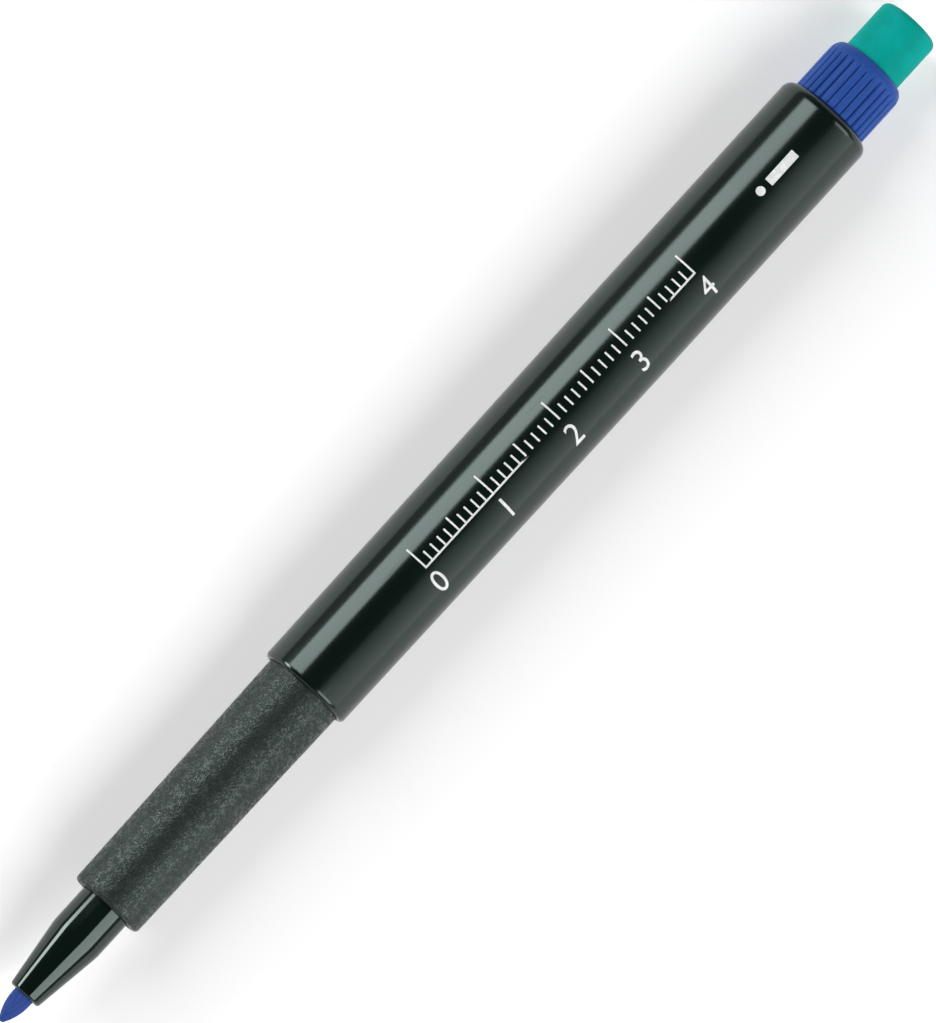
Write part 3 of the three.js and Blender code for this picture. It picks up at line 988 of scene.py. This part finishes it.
# %% Materials, bodies and slots
new_pieces = [
    (nib, "nib", "nib", "nib", nib_blue),
    (nose, "front_section", "pen_body", "front_section", nose_black),
    (grip, "grip_sleeve", "pen_body", "grip", grip_charcoal),
    (barrel, "barrel", "pen_body", "barrel", barrel_black),
    (stopper, "inner_stopper", "stopper", "stopper", stopper_milky),
    (holder, "eraser_holder", "holder", "holder", holder_blue),
    (eraser, "eraser", "eraser", "eraser", eraser_turquoise),
]
for piece, node, body, slot, material in new_pieces:
    piece.data.materials.clear()
    piece.data.materials.append(material)
    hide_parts(node)
    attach(piece, body)

print_marks.data.materials.clear()
print_marks.data.materials.append(print_white)
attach(print_marks, "pen_body")

for node, material in (("reservoir_wrap", film_clear), ("reservoir_fibre", wad_blue)):
    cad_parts[node].material_slots[0].material = material
print("dressed", len(new_pieces) + 1, "new pieces and 2 CAD nodes")

# %% [markdown]
# ## The table
#
# The marker was photographed on white. A large pale plane catches its soft shadow. A little light of its own, only
# for what the camera, mirrors and glass see, lifts it to white.

# %% Floor
TABLE_SIZE = 8
TABLE_GLOW = 0.16

bpy.ops.object.select_all(action="DESELECT")
bpy.ops.mesh.primitive_plane_add(size=TABLE_SIZE, location=(0, 0, 0))
table = bpy.context.object
table.name = "table"


def pale_table():
    material, tree, shader = new_material("table_pale", 0.7, specular=0.2)
    clouds = tree.nodes.new("ShaderNodeTexNoise")
    clouds.inputs["Scale"].default_value = 3
    tree.links.new(own_place(tree), clouds.inputs["Vector"])
    colour = blend(tree, clouds.outputs["Fac"], (0.9, 0.9, 0.9), (0.92, 0.92, 0.92))
    tree.links.new(colour, shader.inputs["Base Color"])
    path = tree.nodes.new("ShaderNodeLightPath")
    seen = math_node(tree, "MAXIMUM", path.outputs["Is Camera Ray"], path.outputs["Is Glossy Ray"])
    seen = math_node(tree, "MAXIMUM", seen, path.outputs["Is Transmission Ray"])
    tree.links.new(share_of(tree, seen, TABLE_GLOW), shader.inputs["Emission Strength"])
    shader.inputs["Emission Color"].default_value = (1, 1, 1, 1)
    return material


table.data.materials.append(pale_table())
print("the table is", tuple(table.dimensions), "m")

# %% [markdown]
# ## The camera
#
# A long lens from almost straight above, tipped a few degrees towards the nib, keeps the pen's sides nearly
# parallel, as in the photograph. The pen runs from the lower left to the upper right, at 47.6 degrees.

# %% Camera
LENS = 400
SENSOR = 36
PIXELS_HIGH = 1023
PIXELS_PER_MM = 10
TIP_BACK = radians(6.5)
SLANT = radians(47.61)
AIM_RIGHT = 0.9
AIM_UP = 0.71

distance = PIXELS_HIGH / PIXELS_PER_MM * MM * LENS / SENSOR
toward = Vector((-sin(TIP_BACK), 0, cos(TIP_BACK)))
pen_way = Vector((cos(TIP_BACK), 0, sin(TIP_BACK)))
cross_way = Vector((0, 1, 0))
right = cos(SLANT) * pen_way - sin(SLANT) * cross_way
up = sin(SLANT) * pen_way + cos(SLANT) * cross_way
aim = Vector((0, 0, AXIS_HEIGHT)) + right * AIM_RIGHT * MM + up * AIM_UP * MM

bpy.ops.object.select_all(action="DESELECT")
bpy.ops.object.camera_add(location=aim + toward * distance)
camera = bpy.context.object
camera.rotation_euler = Matrix((right, up, toward)).transposed().to_euler()
camera.data.lens = LENS
camera.data.sensor_width = SENSOR
camera.data.clip_end = 20
bpy.context.scene.camera = camera
print("the camera is", round(distance, 3), "m away")

# %% [markdown]
# ## The light
#
# Gloss black shows its surroundings, so the lamps are placed by what the barrel mirrors. A soft box beside the rear
# half gives the long stripe on the barrel's upper side. A panel on the other side, brighter towards the table, gives
# the soft rise of light on the lower side. A third box, beside the nib, gives the broad stripe on the nose, and a
# narrow strip gives its thin one. A last panel, past the eraser, lights the two coloured pieces from below right.
# Overhead stays dark, so the middle of the barrel is deep black. The room's walls are paler low down, and palest at
# the pen's two ends.

# %% Lamps
LAMP_REACH = 0.5


def soft_box(name, side, angle, start, end, width, radiance, fading=None):
    """An area lamp beside the pen, whose radiance is 1 where a white surface would look white.

    Its angle is in degrees from straight above, towards +Y or -Y, and it runs from start to end along X. A fading
    lamp goes from one share of its strength to another across its width.
    """
    middle = (start + end) / 2
    tilt = radians(angle)
    place = Vector((middle, side * LAMP_REACH * sin(tilt), LAMP_REACH * cos(tilt)))
    bpy.ops.object.light_add(type="AREA", location=place)
    lamp = bpy.context.object
    lamp.name = name
    lamp.data.shape = "RECTANGLE"
    lamp.data.size = end - start
    lamp.data.size_y = width
    lamp.data.energy = radiance * pi * (end - start) * width
    aside = Vector((1, 0, 0))
    back = Vector((0, place.y, place.z)).normalized()
    lamp.rotation_euler = Matrix((aside, back.cross(aside), back)).transposed().to_euler()
    lamp.visible_camera = False
    if fading:
        lamp.data.use_nodes = True
        tree = lamp.data.node_tree
        glow = tree.nodes["Emission"]
        spot = tree.nodes.new("ShaderNodeNewGeometry")
        parts = tree.nodes.new("ShaderNodeSeparateXYZ")
        tree.links.new(spot.outputs["Parametric"], parts.inputs["Vector"])
        tree.links.new(ramp(tree, parts.outputs["Y"], 0, 1, *fading, smooth=False), glow.inputs["Strength"])
    print(name, "at", tuple(round(v, 3) for v in place), "with", round(lamp.data.energy, 2), "W")


bpy.ops.object.select_all(action="DESELECT")
soft_box("barrel_box", 1, 44.5, -0.005, 0.16, 0.33, 6.4)
soft_box("nose_box", -1, 51, -0.33, -0.01, 0.41, 4.9)
soft_box("nose_strip", 1, 67, -0.33, -0.02, 0.13, 12.0)
soft_box("side_panel", -1, 58, 0.0, 0.26, 0.6, 1.9, fading=(1.0, 0.05))
soft_box("end_panel", -1, 46, 0.17, 0.36, 0.4, 3.2)

# %% World
OVERHEAD = 0.03
LOW_DOWN = 0.26
AT_THE_ENDS = 0.8

world = bpy.data.worlds.new("studio")
bpy.context.scene.world = world
world.use_nodes = True
sky = world.node_tree
background = sky.nodes["Background"]
way = sky.nodes.new("ShaderNodeTexCoord")
split = sky.nodes.new("ShaderNodeSeparateXYZ")
sky.links.new(way.outputs["Generated"], split.inputs["Vector"])
low = ramp(sky, split.outputs["Z"], 0.9, 0.0, OVERHEAD, LOW_DOWN)
ends = ramp(sky, math_node(sky, "ABSOLUTE", split.outputs["X"]), 0.8, 1.0, 0.0, AT_THE_ENDS)
sky.links.new(math_node(sky, "ADD", low, ends), background.inputs["Strength"])
background.inputs["Color"].default_value = (1, 1, 1, 1)
print("the world has", len(sky.nodes), "nodes")

# %% Colour management
bpy.context.scene.view_settings.view_transform = "Standard"
print("view transform:", bpy.context.scene.view_settings.view_transform)
